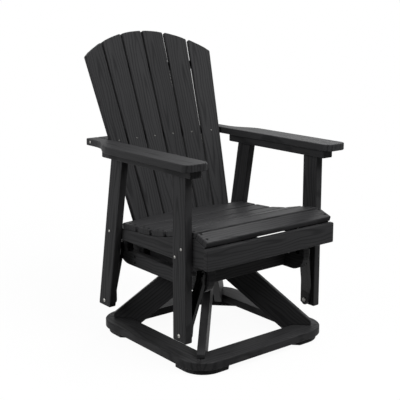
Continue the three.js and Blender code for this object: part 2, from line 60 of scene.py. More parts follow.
def hexColour(code, gain=1.0):
    # sRGB hex to linear: the low end is a straight line, the rest a 2.4 power curve
    srgb = np.array([int(code[i:i + 2], 16) for i in (1, 3, 5)]) / 255
    linear = np.where(srgb <= 0.04045, srgb / 12.92, ((srgb + 0.055) / 1.055) ** 2.4)
    return (*(linear * gain).tolist(), 1.0)


def addNode(tree, kind, links=None, **settings):
    # adds one shader node, sets its properties and sockets, and links its inputs to other outputs
    node = tree.nodes.new(kind)
    for key, value in settings.items():
        if hasattr(node, key):
            setattr(node, key, value)
        else:
            node.inputs[key.replace("_", " ")].default_value = value
    for socket, source in (links or {}).items():
        tree.links.new(source, node.inputs[socket])
    return node


def newMaterial(name, baseHex, roughness, metallic=0.0, specular=0.5):
    material = bpy.data.materials.new(name)
    material.use_nodes = True
    shader = material.node_tree.nodes["Principled BSDF"]
    shader.inputs["Base Color"].default_value = hexColour(baseHex)
    shader.inputs["Roughness"].default_value = roughness
    shader.inputs["Metallic"].default_value = metallic
    shader.inputs["Specular IOR Level"].default_value = specular
    return material, material.node_tree, shader


# Poly lumber: extruded recycled HDPE, its wood grain embossed by a heated roller. To the eye it
# is a satin black: fine grooves run along the board, and long arches where the grain widens.
lumber = {
    "grooveHex": "#222223",      # bottom of the embossed grooves
    "faceHex": "#2e2e2f",        # flat of the board
    "rubbedHex": "#343435",      # raised lines, polished by the roller
    "tones": (0.22, 0.6, 0.82),  # relief, 0 to 1, at which each of these three colours is full
    "boardToBoard": 0.08,        # share by which one board's colour departs from the next
    "roughness": 0.5,
    "grooveRougher": 0.08,       # what the grooves add to it
    "rubbedSmoother": 0.06,      # what the raised lines take from it
    "specular": 0.05,            # low: the embossing scatters what a moulded face would mirror
    "grooveWidth": 4.0,          # mm across; the real 1.5 mm is drawn coarser so that it shows
    "grooveLength": 150.0,       # mm along
    "archWidth": 10.0,           # mm from one arch line to the next, 4 mm on the real board
    "archLine": 0.4,             # share of that taken by the line itself
    "archStretch": 18.0,         # an arch is this many times as long as it is wide
    "archThrough": 0.5,          # through the board it is this share as tight as across
    "archWander": 3.4,           # how far the lines stray from true rings
    "archShare": 0.39,           # share of the relief that the arches make, not the grooves
    "middleAlong": 12.0,         # mm, before the stretch, from the board's middle to the rings'
    "middleAcross": 22.0,        # mm, the same across; both are the most that a board gets
    "bend": 5.0,                 # mm that a slow wave carries the grain sideways
    "bendLength": 120.0,         # mm of that wave along the board
    "bendAcross": 0.012,         # waves to the mm across and through it
    "grit": 0.9,                 # mm, the fine texture between the grooves
    "gritStretch": 4.0,          # times as long as wide
    "gritShare": 0.2,            # share of the height that the grit makes
    "depth": 0.3,                # mm of relief
    "bump": 0.35,
}
noiseLow, noiseHigh = 0.25, 0.75   # between these a noise texture keeps nearly all its values
patternSpread = 40.0               # two boards' patterns start up to this far apart


def boardAxes(node):
    # principal directions of the node's points: longest spread, middle spread, least spread
    points = np.array([v.co for v in node.data.vertices])
    centre = (points.min(0) + points.max(0)) / 2
    unique = np.unique(points.round(5), axis=0)
    spread = np.linalg.svd(unique - unique.mean(0), full_matrices=False)[2]
    if np.linalg.det(spread) < 0:
        spread[2] *= -1
    return centre, spread


def polyLumber(name, centre, axes, seed):
    random = np.random.default_rng(seed)
    gain = 1 + lumber["boardToBoard"] * random.uniform(-1, 1)
    material, tree, shader = newMaterial(name, lumber["faceHex"], lumber["roughness"],
                                         specular=lumber["specular"])
    # the board's own frame, in mm: x along, y across, z through, from the board's middle
    turn = Matrix(axes.tolist()).to_euler("XYZ")
    coords = addNode(tree, "ShaderNodeTexCoord")
    board = addNode(tree, "ShaderNodeMapping", {"Vector": coords.outputs["Object"]},
                    Scale=(1 / mm,) * 3, Rotation=turn, Location=(-axes @ centre / mm).tolist())
    # slow bend of the grain, sideways
    bendMap = addNode(tree, "ShaderNodeMapping", {"Vector": board.outputs[0]},
                      Scale=(1 / lumber["bendLength"], lumber["bendAcross"], lumber["bendAcross"]),
                      Location=random.uniform(-patternSpread, patternSpread, 3).tolist())
    bend = addNode(tree, "ShaderNodeTexNoise", {"Vector": bendMap.outputs[0]},
                   Scale=1.0, Detail=1.0)
    sideways = addNode(tree, "ShaderNodeMapRange", {"Value": bend.outputs[0]}, clamp=False,
                       From_Min=noiseLow, From_Max=noiseHigh,
                       To_Min=-lumber["bend"], To_Max=lumber["bend"])
    across = addNode(tree, "ShaderNodeCombineXYZ", {"Y": sideways.outputs[0]})
    bent = addNode(tree, "ShaderNodeVectorMath", {0: board.outputs[0], 1: across.outputs[0]},
                   operation="ADD")
    # arches: rings about a point near the middle, drawn out along the board
    # (a ring texture of scale 1 repeats each 2 pi / 20)
    archMap = addNode(tree, "ShaderNodeMapping", {"Vector": bent.outputs[0]},
                      Scale=(1 / lumber["archStretch"], 1, lumber["archThrough"]),
                      Location=(random.uniform(-lumber["middleAlong"], lumber["middleAlong"]),
                                random.uniform(-lumber["middleAcross"], lumber["middleAcross"]), 0))
    arches = addNode(tree, "ShaderNodeTexWave", {"Vector": archMap.outputs[0]},
                     wave_type="RINGS", rings_direction="SPHERICAL",
                     Scale=math.pi / 10 / lumber["archWidth"], Distortion=lumber["archWander"],
                     Detail=2.0, Detail_Scale=1.3)
    grooveMap = addNode(tree, "ShaderNodeMapping", {"Vector": bent.outputs[0]},
                        Scale=(1 / lumber["grooveLength"], 1 / lumber["grooveWidth"],
                               1 / lumber["grooveWidth"]),
                        Location=random.uniform(-patternSpread, patternSpread, 3).tolist())
    grooves = addNode(tree, "ShaderNodeTexNoise", {"Vector": grooveMap.outputs[0]},
                      Scale=1.0, Detail=3.0, Roughness=0.6)
    gritMap = addNode(tree, "ShaderNodeMapping", {"Vector": board.outputs[0]},
                      Scale=(1 / (lumber["gritStretch"] * lumber["grit"]),
                             1 / lumber["grit"], 1 / lumber["grit"]))
    grit = addNode(tree, "ShaderNodeTexNoise", {"Vector": gritMap.outputs[0]},
                   Scale=1.0, Detail=1.0)
    lines = addNode(tree, "ShaderNodeMapRange", {"Value": arches.outputs[1]},
                    From_Max=lumber["archLine"])
    relief = addNode(tree, "ShaderNodeMix", {"A": grooves.outputs[0], "B": lines.outputs[0]},
                     Factor=lumber["archShare"])
    # colour, gloss and height all follow the same relief
    tone = addNode(tree, "ShaderNodeValToRGB", {"Fac": relief.outputs[0]})
    stops = tone.color_ramp.elements
    grooveTone, faceTone, rubbedTone = lumber["tones"]
    stops[0].position = grooveTone
    stops[1].position = rubbedTone
    stops[0].color = hexColour(lumber["grooveHex"], gain)
    stops[1].color = hexColour(lumber["rubbedHex"], gain)
    stops.new(faceTone).color = hexColour(lumber["faceHex"], gain)
    height = addNode(tree, "ShaderNodeMix", {"A": relief.outputs[0], "B": grit.outputs[0]},
                     Factor=lumber["gritShare"])
    bump = addNode(tree, "ShaderNodeBump", {"Height": height.outputs[0]},
                   Strength=lumber["bump"], Distance=lumber["depth"] * mm)
    gloss = addNode(tree, "ShaderNodeMapRange", {"Value": relief.outputs[0]},
                    To_Min=lumber["roughness"] + lumber["grooveRougher"],
                    To_Max=lumber["roughness"] - lumber["rubbedSmoother"])
    tree.links.new(tone.outputs[0], shader.inputs["Base Color"])
    tree.links.new(gloss.outputs[0], shader.inputs["Roughness"])
    tree.links.new(bump.outputs[0], shader.inputs["Normal"])
    return material


# Powder-coated steel: a thick satin black skin with the faint orange peel of baked powder.
coat = {
    "hex": "#151516",
    "roughness": 0.26, "smoother": 0.05, "rougher": 0.08,   # in the hollows and on the crests
    "specular": 0.14,   # low: the pale floor would else turn the links grey
    "peel": 3.0, "peelDepth": 0.05, "bump": 0.5,            # mm from crest to crest, mm deep
}

# Cold-headed stainless with fine rolling marks. Its colours are painted grey rather than bright: painted
# reflection of surroundings darker than the white surround.
stainless = {
    # screwHex is darker still than boltHex: painted dark reflection on the small back-slat screw heads
    "boltHex": "#8f8e8b", "screwHex": "#555553",
    "roughness": 0.34, "smoother": 0.06, "rougher": 0.1,
    "mark": 0.6, "markDepth": 0.02, "bump": 0.4,            # mm from mark to mark, mm deep
}

# Black oxide over steel: a thin, nearly matt, blue-black film, greyer where it is rubbed. Its near-black
# colour without gloss also stands for the shade in countersunk holes: on the flush screw heads it is
# painted shade.
oxide = {
    # near-black, and no specular below: painted shade of countersunk holes on the flush heads
    "hex": "#070707", "rubbedHex": "#121213", "tones": (0.4, 0.75),
    "roughness": 0.6, "rougher": 0.08, "smoother": 0.1,
    "specular": 0.0,    # none: small heads show as plain dark dots
    "mottle": 2.5,      # mm from patch to patch
}


def powderCoat(name):
    material, tree, shader = newMaterial(name, coat["hex"], coat["roughness"],
                                         specular=coat["specular"])
    coords = addNode(tree, "ShaderNodeTexCoord")
    size = addNode(tree, "ShaderNodeMapping", {"Vector": coords.outputs["Object"]},
                   Scale=(1 / mm / coat["peel"],) * 3)
    peel = addNode(tree, "ShaderNodeTexNoise", {"Vector": size.outputs[0]}, Scale=1.0, Detail=1.5)
    bump = addNode(tree, "ShaderNodeBump", {"Height": peel.outputs[0]},
                   Strength=coat["bump"], Distance=coat["peelDepth"] * mm)
    gloss = addNode(tree, "ShaderNodeMapRange", {"Value": peel.outputs[0]},
                    To_Min=coat["roughness"] - coat["smoother"],
                    To_Max=coat["roughness"] + coat["rougher"])
    tree.links.new(bump.outputs[0], shader.inputs["Normal"])
    tree.links.new(gloss.outputs[0], shader.inputs["Roughness"])
    return material


def stainlessSteel(name, hexCode):
    material, tree, shader = newMaterial(name, hexCode, stainless["roughness"], 1.0)
    coords = addNode(tree, "ShaderNodeTexCoord")
    size = addNode(tree, "ShaderNodeMapping", {"Vector": coords.outputs["Object"]},
                   Scale=(1 / mm / stainless["mark"],) * 3)
    marks = addNode(tree, "ShaderNodeTexNoise", {"Vector": size.outputs[0]}, Scale=1.0)
    gloss = addNode(tree, "ShaderNodeMapRange", {"Value": marks.outputs[0]},
                    To_Min=stainless["roughness"] - stainless["smoother"],
                    To_Max=stainless["roughness"] + stainless["rougher"])
    bump = addNode(tree, "ShaderNodeBump", {"Height": marks.outputs[0]},
                   Strength=stainless["bump"], Distance=stainless["markDepth"] * mm)
    tree.links.new(gloss.outputs[0], shader.inputs["Roughness"])
    tree.links.new(bump.outputs[0], shader.inputs["Normal"])
    return material


def blackOxide(name):
    material, tree, shader = newMaterial(name, oxide["hex"], oxide["roughness"],
                                         specular=oxide["specular"])
    coords = addNode(tree, "ShaderNodeTexCoord")
    size = addNode(tree, "ShaderNodeMapping", {"Vector": coords.outputs["Object"]},
                   Scale=(1 / mm / oxide["mottle"],) * 3)
    mottle = addNode(tree, "ShaderNodeTexNoise", {"Vector": size.outputs[0]}, Scale=1.0, Detail=3.0)
    tone = addNode(tree, "ShaderNodeValToRGB", {"Fac": mottle.outputs[0]})
    stops = tone.color_ramp.elements
    filmTone, rubbedTone = oxide["tones"]
    stops[0].position = filmTone
    stops[1].position = rubbedTone
    stops[0].color = hexColour(oxide["hex"])
    stops[1].color = hexColour(oxide["rubbedHex"])
    gloss = addNode(tree, "ShaderNodeMapRange", {"Value": mottle.outputs[0]},
                    To_Min=oxide["roughness"] + oxide["rougher"],
                    To_Max=oxide["roughness"] - oxide["smoother"])
    tree.links.new(tone.outputs[0], shader.inputs["Base Color"])
    tree.links.new(gloss.outputs[0], shader.inputs["Roughness"])
    return material


lumberEdge = {"width": 1.5 * mm, "segments": 3}
steelEdge = {"width": 1.2 * mm, "segments": 3}
weldWithin = 0.01 * mm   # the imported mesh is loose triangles, whose corners agree to this
easedFrom = 25           # degrees between two faces from which their edge is rounded


def easeEdges(node, edge):
    # weld the loose triangles, then round the cut edges
    weld = node.modifiers.new("weld", "WELD")
    weld.merge_threshold = weldWithin
    bevel = node.modifiers.new("eased edge", "BEVEL")
    bevel.width = edge["width"]
    bevel.segments = edge["segments"]
    bevel.limit_method = "ANGLE"
    bevel.angle_limit = math.radians(easedFrom)
    bevel.use_clamp_overlap = True
    bevel.harden_normals = False


slotOf = {part["node"]: part["material_slot"] for part in frame["record"]["subparts"]}
blackCoat = powderCoat("powder-coated steel, satin black")
# the stainless finishes below are painted darker than bare steel: painted reflection
reflectionDimmedSteel = stainlessSteel("stainless steel, cold headed, painted dim reflection", stainless["boltHex"])
darkReflectionSteel = stainlessSteel("stainless steel, painted dark reflection", stainless["screwHex"])
oxideAndHoleShade = blackOxide("steel, black oxide and painted hole shade")

for seed, (name, node) in enumerate(sorted(frame["nodes"].items())):
    node.data.materials.clear()
    if slotOf[name] == "black_lumber":
        centre, axes = boardAxes(node)
        node.data.materials.append(polyLumber(f"poly lumber, embossed, {name}", centre, axes, seed))
        easeEdges(node, lumberEdge)
    elif slotOf[name] == "black_steel":
        node.data.materials.append(blackCoat)
        easeEdges(node, steelEdge)
    else:
        node.data.materials.append(reflectionDimmedSteel)
print("boards and steel dressed:", len(frame["nodes"]))


# Turned and pressed metal. A row of a profile is (radius, height, hexagon share, lobe share), mm.

joinWithin = 0.001 * mm   # points of a new piece closer than this become one


def ringFaces(rows, columns):
    # four corners of each face of a grid whose last column joins its first
    row, column = np.meshgrid(np.arange(rows - 1), np.arange(columns), indexing="ij")
    after = (column + 1) % columns
    corners = [row * columns + column, row * columns + after,
               (row + 1) * columns + after, (row + 1) * columns + column]
    return np.stack(corners, -1).reshape(-1, 4)


def turned(rows, sides=36):
    # At angle t a point of a row stands r(t) from the axis: r(t) is the row's radius, times
    # 1 / cos(angle to the middle of the nearest of six flats) as far as the hexagon share says,
    # times 1 + lobe share * cos 6t for a six-lobed socket.
    table = np.array([(*row, 0, 0)[:4] for row in rows], float)
    angle = np.linspace(0, 2 * np.pi, sides, endpoint=False)
    nearFlat = (angle + np.pi / 6) % (np.pi / 3) - np.pi / 6
    hexagon = 1 + table[:, 2:3] * (1 / np.cos(nearFlat) - 1)
    lobes = 1 + table[:, 3:4] * np.cos(6 * angle)
    radius = table[:, 0:1] * hexagon * lobes
    height = np.broadcast_to(table[:, 1:2], radius.shape)
    points = np.stack([radius * np.cos(angle), radius * np.sin(angle), height], -1)
    return points.reshape(-1, 3), ringFaces(len(table), sides)


def placed(shape, spots):
    # one copy of the shape at each (place, direction of its axis), as whole arrays: a point
    # (a, b, c) goes to place + a * side + b * (axis x side) + c * axis
    points, faces = shape
    spots = np.array([(*at, *axis) for at, axis in spots], float)
    axis = spots[:, 3:] / np.linalg.norm(spots[:, 3:], axis=1, keepdims=True)
    side = np.cross(axis, np.where(np.abs(axis[:, :1]) > 0.9, (0.0, 0.0, 1.0), (1.0, 0.0, 0.0)))
    side /= np.linalg.norm(side, axis=1, keepdims=True)
    frames = np.stack([side, np.cross(axis, side), axis], 1)
    moved = np.einsum("pk,skc->spc", points, frames) + spots[:, None, :3]
    shifted = faces[None] + (np.arange(len(spots)) * len(points))[:, None, None]
    return moved.reshape(-1, 3), shifted.reshape(-1, faces.shape[1])


def makePiece(name, shapes, body, material, sharp=32):
    # joins the shapes, in mm, in one mesh; rows of radius 0 close to a point, and edges of more
    # than the sharp angle, in degrees, stay crisp
    mesh = bpy.data.meshes.new(name)
    starts = np.cumsum([0] + [len(shape[0]) for shape in shapes])
    points = np.concatenate([shape[0] for shape in shapes]) * mm
    faces = np.concatenate([shape[1] + start for shape, start in zip(shapes, starts)])
    mesh.from_pydata(points.tolist(), [], faces.tolist())
    welded = bmesh.new()
    welded.from_mesh(mesh)
    bmesh.ops.remove_doubles(welded, verts=welded.verts, dist=joinWithin)
    bmesh.ops.dissolve_degenerate(welded, edges=welded.edges, dist=joinWithin)
    bmesh.ops.recalc_face_normals(welded, faces=welded.faces)
    welded.to_mesh(mesh)
    welded.free()
    mesh.shade_smooth()
    mesh.set_sharp_from_angle(angle=math.radians(sharp))
    mesh.materials.append(material)
    piece = bpy.data.objects.new(name, mesh)
    bpy.context.collection.objects.link(piece)
    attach(piece, body)
    return piece


# Sizes in mm that heads, washers, nuts and threads of every size share; shares are of their own
headShape = {
    "rimShare": 0.18,      # upright rim, of the head's height
    "landShare": 1.3,      # where the dome ends, of the socket's radius
    "boreShare": 0.55,     # the socket's depth, of the head's height
    "taperShare": 0.94,    # the socket's floor, of its mouth
    "bow": 7,              # points along the dome
    "broken": 0.25, "floorCone": 0.3,
}
washerBroken = 0.2
nutShape = {"faceShare": 0.93, "faceHexagon": 0.2, "turnedDown": 0.7}
threadShape = {"depth": 0.45, "lead": 0.5, "tipInset": 0.9, "turns": 3}


def headRows(flat, radius, height, socket, lobe=0.0, hexagon=0.0):
    # from the flat under the head: a short rim, a quarter ellipse up to the socket, then down it
    rim = headShape["rimShare"] * height
    broken = headShape["broken"]
    bow = np.linspace(0, math.acos(headShape["landShare"] * socket / radius), headShape["bow"])
    dome = np.stack([radius * np.cos(bow), flat + rim + (height - rim) * np.sin(bow)], 1)
    top = dome[-1, 1]
    floor = top - headShape["boreShare"] * height
    return [(radius - broken, flat), (radius, flat + broken), *dome.tolist(),
            (socket, top, hexagon, lobe), (headShape["taperShare"] * socket, floor, hexagon, lobe),
            (0, floor - headShape["floorCone"])]


def washerRows(low, high, bore, radius):
    # a flat ring, its four corners broken, closed on itself
    broken = washerBroken
    return [(bore, low + broken), (bore + broken, low), (radius - broken, low),
            (radius, low + broken), (radius, high - broken), (radius - broken, high),
            (bore + broken, high), (bore, high - broken), (bore, low + broken)]


def nutRows(low, high, flat):
    # a hexagon, its corners turned down at the outer end
    return [(0, low), (nutShape["faceShare"] * flat, low, nutShape["faceHexagon"]),
            (flat, low + nutShape["turnedDown"], 1), (flat, high, 1), (0, high)]


def tipRows(tip, radius, pitch):
    # rolled thread seen from the side: crest and root by turns, from the tip inward
    steps = np.arange(2 * threadShape["turns"])
    ridge = np.where(steps % 2, radius, radius - threadShape["depth"])
    height = tip + threadShape["lead"] + steps * pitch / 2
    return [(0, tip), (radius - threadShape["tipInset"], tip),
            *np.stack([ridge, height], 1).tolist()]


@functools.lru_cache
def solidTree(node):
    mesh = frame["nodes"][node].data
    return BVHTree.FromPolygons([v.co / mm for v in mesh.vertices],
                                [face.vertices for face in mesh.polygons])


farOut = 700.0   # mm from its place that a line starts, outside the solid that it meets


def surfaceSpot(node, across, direction):
    # where a line along the direction first meets a CAD solid, and the way that its face looks,
    # in mm; across gives the line's place, with 0 along the line itself
    start = Vector(across) - farOut * Vector(direction)
    at, normal = solidTree(node).ray_cast(start, Vector(direction))[:2]
    if at is None:
        raise ValueError(f"no surface of {node} there: {across}")
    return tuple(at), tuple(normal)


def middle(node):
    low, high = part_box(node)
    return (low + high) / 2 / mm


corners = [(end, side) for end in ("front", "rear") for side in ("left", "right")]
outward = {"left": -1, "right": 1}

# Lower pivots: a button-head bolt through the post and the link, on a sleeve that keeps the two
# apart, with a washer and a hexagon nut on the link's inner face. Distances are from the middle.
lowerPivot = {
    "headFlat": 312.2, "headRadius": 7.0, "headHeight": 5.0, "socket": 2.5,
    "shank": 3.9, "sleeve": (273.0, 283.7), "sleeveRadius": 8.0,
    "washer": (268.1, 269.5), "washerRadius": 8.0,
    "nut": (265.1, 268.1), "nutFlat": 6.4, "tip": 264.5, "pitch": 1.25,
}

# Upper pivots: the same bolt the other way about, a dark domed head outside the link's web, a thin
# spacer next to the carriage, and its washer and nut on the carriage's inner face.
upperPivot = {
    "headFlat": 236.8, "headRadius": 7.0, "headHeight": 4.9, "socket": 2.3,
    "shank": 3.9, "sleeve": (232.1, 233.4), "sleeveRadius": 8.0,
    "washer": (202.4, 203.8), "washerRadius": 8.0,
    "nut": (199.4, 202.4), "nutFlat": 6.4, "tip": 198.8, "pitch": 1.25,
}


def pivotBolt(pivot):
    threaded = tipRows(pivot["tip"], pivot["shank"], pivot["pitch"])
    head = headRows(pivot["headFlat"], pivot["headRadius"], pivot["headHeight"],
                    pivot["socket"], hexagon=1.0)
    bolt = turned(threaded + [(pivot["shank"], pivot["headFlat"])] + head)
    sleeve = turned(washerRows(*pivot["sleeve"], pivot["shank"], pivot["sleeveRadius"]))
    washer = turned(washerRows(*pivot["washer"], pivot["shank"], pivot["washerRadius"]))
    nut = turned(nutRows(*pivot["nut"], pivot["nutFlat"]))
    return [bolt, sleeve, washer, nut]


for end, side in corners:
    for level, pivot, body, slot, finish in (
            ("lower", lowerPivot, "chair", "stainless_bolts", reflectionDimmedSteel),
            ("upper", upperPivot, "carriage", "black_steel", oxideAndHoleShade)):
        pin = f"{level}_pin_{end}_{side}"
        at = middle(pin)
        spot = [((0, at.y, at.z), (outward[side], 0, 0))]
        shapes = [placed(shape, spot) for shape in pivotBolt(pivot)]
        piece = makePiece(f"pivot_bolt_{level}_{end}_{side}", shapes, body, finish)
        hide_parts(pin)
print("pivot bolts made:", 2 * len(corners))


# Post bolts: small round heads outside the posts, nuts on the inner face of the seat rail.
postBolt = {
    "spots": ((-281.7, 425.3), (-248.4, 393.1), (142.9, 400.0)),   # y and z of each, mm
    "face": 312.0, "inner": 256.0, "clear": 0.05,
    "headRadius": 5.0, "headHeight": 3.0, "socket": 1.8, "shank": 3.0, "pitch": 1.0,
    "nutThick": 4.0, "nutFlat": 5.0, "washerThick": 1.2, "washerRadius": 6.5, "tip": 250.2,
}


def throughBolt(bolt):
    under = bolt["face"] + bolt["clear"]
    inner = bolt["inner"] - bolt["clear"]
    seat = inner - bolt["washerThick"]
    rows = tipRows(bolt["tip"], bolt["shank"], bolt["pitch"]) + [(bolt["shank"], under)]
    head = headRows(under, bolt["headRadius"], bolt["headHeight"], bolt["socket"], hexagon=1.0)
    return [turned(rows + head),
            turned(washerRows(seat, inner, bolt["shank"], bolt["washerRadius"])),
            turned(nutRows(seat - bolt["nutThick"], seat, bolt["nutFlat"]))]


postSpots = [((0, y, z), (way, 0, 0)) for way in outward.values() for y, z in postBolt["spots"]]
makePiece("post_bolts", [placed(shape, postSpots) for shape in throughBolt(postBolt)],
          "chair", reflectionDimmedSteel)

# Arm-neck bolts: one round head on the outer face where each arm narrows to the back rail.
neckBolt = {
    "y": 259.3, "z": 709.0,
    "radius": 5.0, "height": 2.8, "socket": 1.8, "lobe": 0.15, "shank": 2.4, "sunk": 6.0,
}
neckHead = turned([(0, -neckBolt["sunk"]), (neckBolt["shank"], -neckBolt["sunk"]),
                   (neckBolt["shank"], 0)]
                  + headRows(0.0, neckBolt["radius"], neckBolt["height"], neckBolt["socket"],
                             lobe=neckBolt["lobe"]))
neckSpots = [surfaceSpot(f"arm_{side}", (0, neckBolt["y"], neckBolt["z"]), (-way, 0, 0))
             for side, way in outward.items()]
makePiece("arm_neck_bolts", [placed(neckHead, neckSpots)],
          "chair", reflectionDimmedSteel)

# Screws: six-lobed recesses. Those of the back stand a little proud, the seat's lie flush.
screws = {
    "lobe": 0.15, "recess": 1.5, "sides": 24,
    "backRadius": 3.4, "backHeight": 1.8, "backShank": 1.6, "backLength": 8.0,
    "flushRadius": 4.6, "flushTip": 1.5, "flushNeck": 1.8, "flushLength": 6.0, "neckDepth": 2.6,
    "rimDepth": 0.15, "rimHeight": 0.1, "crown": 0.3, "landShare": 1.35,
    "recessTop": 0.2, "recessShare": 0.94, "recessFloor": 1.6, "recessTip": 1.8,
}
screwPlaces = {   # mm; x from the middle outwards
    "armRow": 711.0, "upperRow": 960.0, "lowerRow": 392.0,       # heights of the back's rows
    "armX": (43.0, 130.0, 218.0), "upperX": (46.0, 137.0, 226.0), "lowerX": (38.0, 114.0, 185.0),
    "seatX": 270.0, "seatPair": 15.0,
    "seatShift": {1: -18.0, 6: 2.5},   # rear slat: forward, clear of the back; front slat: off its nose
    "cleatX": 298.0, "cleatY": (-326.0, -160.0, -10.0),
    "apronX": 232.0, "apronZ": (388.0, 424.0),
    "crossY": (-218.1, 99.9), "crossZ": (275.0, 298.0),
}


def convexScrew():
    # a round head over a plain shank
    shank = [(0, -screws["backLength"]), (screws["backShank"], -screws["backLength"]),
             (screws["backShank"], 0.0)]
    return turned(shank + headRows(0.0, screws["backRadius"], screws["backHeight"],
                                   screws["recess"], lobe=screws["lobe"]), screws["sides"])


def flushScrew():
    # a cone under a nearly flat top, with the recess sunk in it
    radius, recess, lobe = screws["flushRadius"], screws["recess"], screws["lobe"]
    return turned([(0, -screws["flushLength"]), (screws["flushTip"], -screws["flushLength"]),
                   (screws["flushNeck"], -screws["neckDepth"]), (radius, -screws["rimDepth"]),
                   (radius, screws["rimHeight"]), (radius - screws["crown"], screws["crown"]),
                   (screws["landShare"] * recess, screws["crown"]),
                   (recess, screws["recessTop"], 0, lobe),
                   (screws["recessShare"] * recess, -screws["recessFloor"], 0, lobe),
                   (0, -screws["recessTip"])], screws["sides"])


slatNumbers = range(1, 7)
halfSlats = len(slatNumbers) // 2
backSpots = []
railSpots = []
for number in slatNumbers:
    way = -1 if number <= halfSlats else 1
    column = halfSlats - number if way < 0 else number - halfSlats - 1   # 0 beside the middle
    slat = f"back_slat_{number}"
    armX, upperX, lowerX = (way * screwPlaces[row][column] for row in ("armX", "upperX", "lowerX"))
    backSpots.append(surfaceSpot(slat, (armX, 0, screwPlaces["armRow"]), (0, 1, 0)))
    backSpots.append(surfaceSpot(slat, (lowerX, 0, screwPlaces["lowerRow"]), (0, 1, 0)))
    railSpots.append(surfaceSpot("back_rail_upper", (upperX, 0, screwPlaces["upperRow"]),
                                 (0, -1, 0)))
makePiece("back_slat_screws", [placed(convexScrew(), backSpots)],
          "chair", darkReflectionSteel)
makePiece("back_rail_screws", [placed(convexScrew(), railSpots)],
          "chair", oxideAndHoleShade)

# The flush heads take the near-black oxide finish, which paints the shade of countersunk holes.
seatSpots = []
for number in slatNumbers:
    slat = f"seat_slat_{number}"
    along = middle(slat).y + screwPlaces["seatShift"].get(number, 0.0)
    seatSpots += [surfaceSpot(slat, (x, along + step, 0), (0, 0, -1))
                  for x in (-screwPlaces["seatX"], screwPlaces["seatX"])
                  for step in (-screwPlaces["seatPair"], screwPlaces["seatPair"])]
makePiece("seat_slat_screws", [placed(flushScrew(), seatSpots)],
          "chair", oxideAndHoleShade)

cleatSpots = [surfaceSpot(f"arm_cleat_{side}", (way * screwPlaces["cleatX"], y, 0), (0, 0, 1))
              for side, way in outward.items() for y in screwPlaces["cleatY"]]
makePiece("arm_cleat_screws", [placed(flushScrew(), cleatSpots)],
          "chair", oxideAndHoleShade)

apronSpots = [surfaceSpot("apron", (way * screwPlaces["apronX"], 0, z), (0, -1, 0))
              for way in outward.values() for z in screwPlaces["apronZ"]]
makePiece("apron_screws", [placed(flushScrew(), apronSpots)], "chair", oxideAndHoleShade)

crossSpots = [surfaceSpot(f"carriage_side_{side}", (0, y, z), (-way, 0, 0))
              for side, way in outward.items()
              for y in screwPlaces["crossY"] for z in screwPlaces["crossZ"]]
makePiece("carriage_screws", [placed(flushScrew(), crossSpots)],
          "carriage", oxideAndHoleShade)
print("bolts and screws made")


# Swivel: pressed races with a ring of balls between the plates, and the bolts of both plates.
bearing = {
    "middleY": -59.14, "low": 300.0, "high": 308.0,
    "trackRadius": 71.0, "ballRadius": 3.1, "balls": 48, "ballSides": 10, "ballSharp": 60,
    "innerLip": 64.0, "outerLip": 78.0, "raceSides": 96, "bow": 7,
    "ballClear": 0.5, "plateClear": 0.1, "halfGap": 0.8, "sheet": 0.6, "broken": 0.3,
}
plateBolts = {
    "lowerReach": 60.0, "upperReach": 80.0,                   # from the swivel's middle, x and y
    "lowerZ": 300.0, "upperZ": 308.3, "deckZ": 340.0,         # the faces that they stand on
    "plateHead": (0.02, 5.0, 2.6, 1.7), "deckHead": (0.02, 7.0, 3.4, 2.2),   # flat, radius, height, socket
    "sides": 24,
}


def raceRows(lip, way):
    # a pressed lip: down from the rim, then a quarter turn under the balls
    low = bearing["low"] + bearing["plateClear"]
    high = bearing["high"] - bearing["plateClear"]
    reach = bearing["ballRadius"] + bearing["ballClear"]
    inside = bearing["trackRadius"] - way * bearing["halfGap"]
    rim = lip + way * bearing["broken"]
    middleZ = (low + high) / 2
    turnBy = np.linspace(0, np.pi / 2, bearing["bow"])
    bowl = np.stack([inside - way * reach * np.cos(turnBy),
                     middleZ - (middleZ - low - bearing["sheet"]) * np.sin(turnBy)], 1)
    return [(rim, high), *bowl.tolist(), (inside, low), (lip, low),
            (lip, high - bearing["broken"]), (rim, high)]


swivelAt = [((0, bearing["middleY"], 0), (0, 0, 1))]
raceShapes = [placed(turned(raceRows(lip, way), bearing["raceSides"]), swivelAt)
              for lip, way in ((bearing["innerLip"], 1), (bearing["outerLip"], -1))]
races = makePiece("bearing_races", raceShapes, "base", blackCoat)
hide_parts("swivel_bearing")

# a ball is a half circle turned about its own axis, and stands on the track at angle t
bow = np.linspace(-np.pi / 2, np.pi / 2, bearing["bow"])
ball = turned(np.stack([bearing["ballRadius"] * np.cos(bow),
                        bearing["ballRadius"] * np.sin(bow)], 1).round(6).tolist(),
              bearing["ballSides"])
ballZ = (bearing["low"] + bearing["high"]) / 2
ballSpots = [((bearing["trackRadius"] * math.cos(t),
               bearing["middleY"] + bearing["trackRadius"] * math.sin(t), ballZ), (0, 0, 1))
             for t in np.linspace(0, 2 * np.pi, bearing["balls"], endpoint=False)]
makePiece("bearing_balls", [placed(ball, ballSpots)], "base", reflectionDimmedSteel,
          bearing["ballSharp"])


def squareSpots(reach, z, up):
    # the four corners of a square about the swivel
    return [((i * reach, bearing["middleY"] + j * reach, z), (0, 0, up))
            for i, j in ((-1, -1), (1, -1), (1, 1), (-1, 1))]


